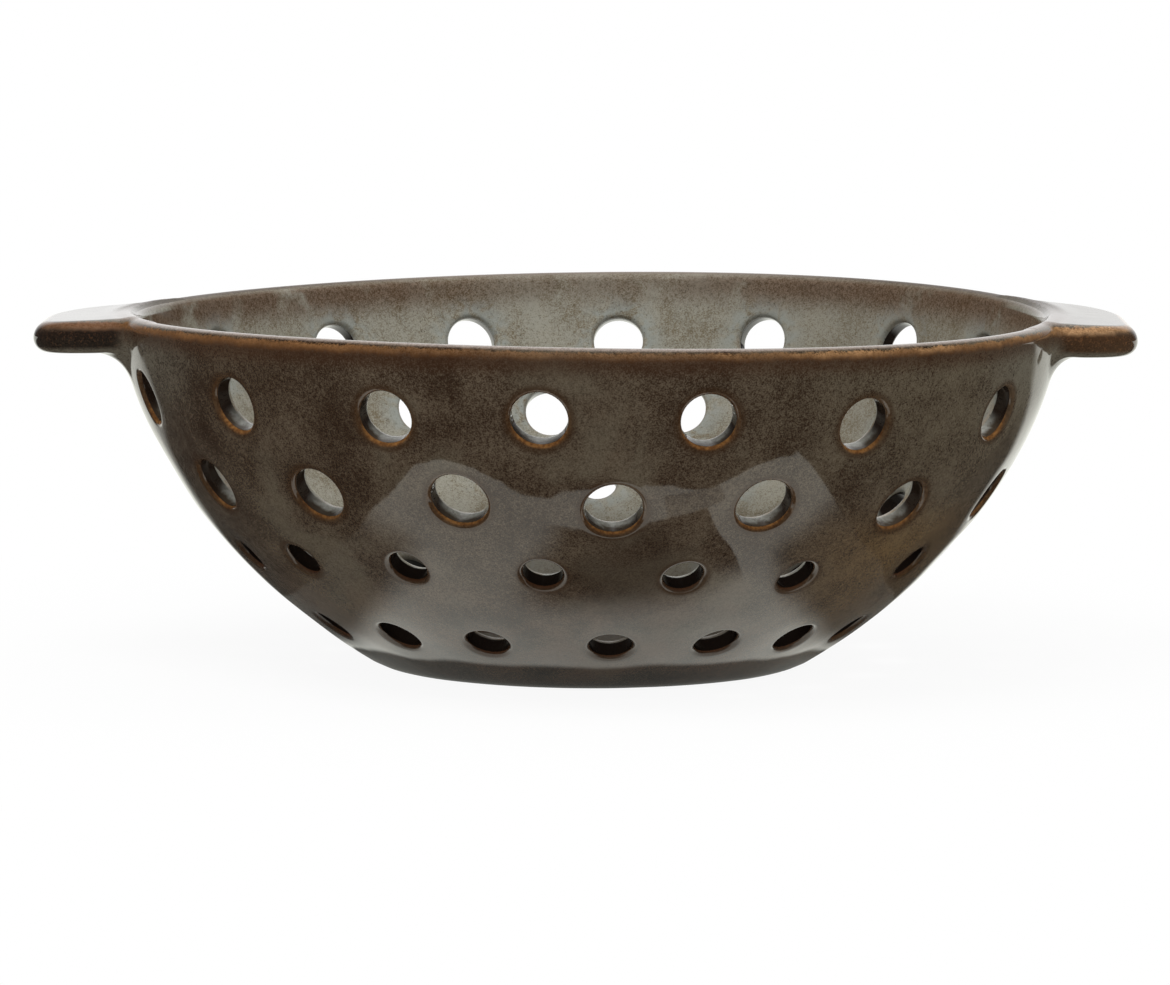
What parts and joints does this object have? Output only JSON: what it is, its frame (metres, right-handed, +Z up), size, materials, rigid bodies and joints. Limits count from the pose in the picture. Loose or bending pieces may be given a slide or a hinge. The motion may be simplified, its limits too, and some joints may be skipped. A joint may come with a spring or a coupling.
{
  "type": "berry colander bowl",
  "caption": "Round glazed stoneware bowl with rows of punched drain holes, a flat lug handle on each side level with the rim, and a low unglazed foot ring.",
  "frame": {"origin": "centre of the foot ring's flat underside, on the bowl's axis", "axes": "+Z up along the bowl's axis, +X to the right-hand handle and -X to the left-hand handle as pictured, -Y to the pictured front"},
  "size_m": [0.235, 0.202, 0.0768],
  "materials": {
    "glaze": "gloss",
    "bare_stoneware": "matte"
  },
  "bodies": {
    "root": {"bowl_body": "glaze", "handle_left": "glaze", "handle_right": "glaze", "foot_ring": "bare_stoneware"}
  },
  "joints": []
}
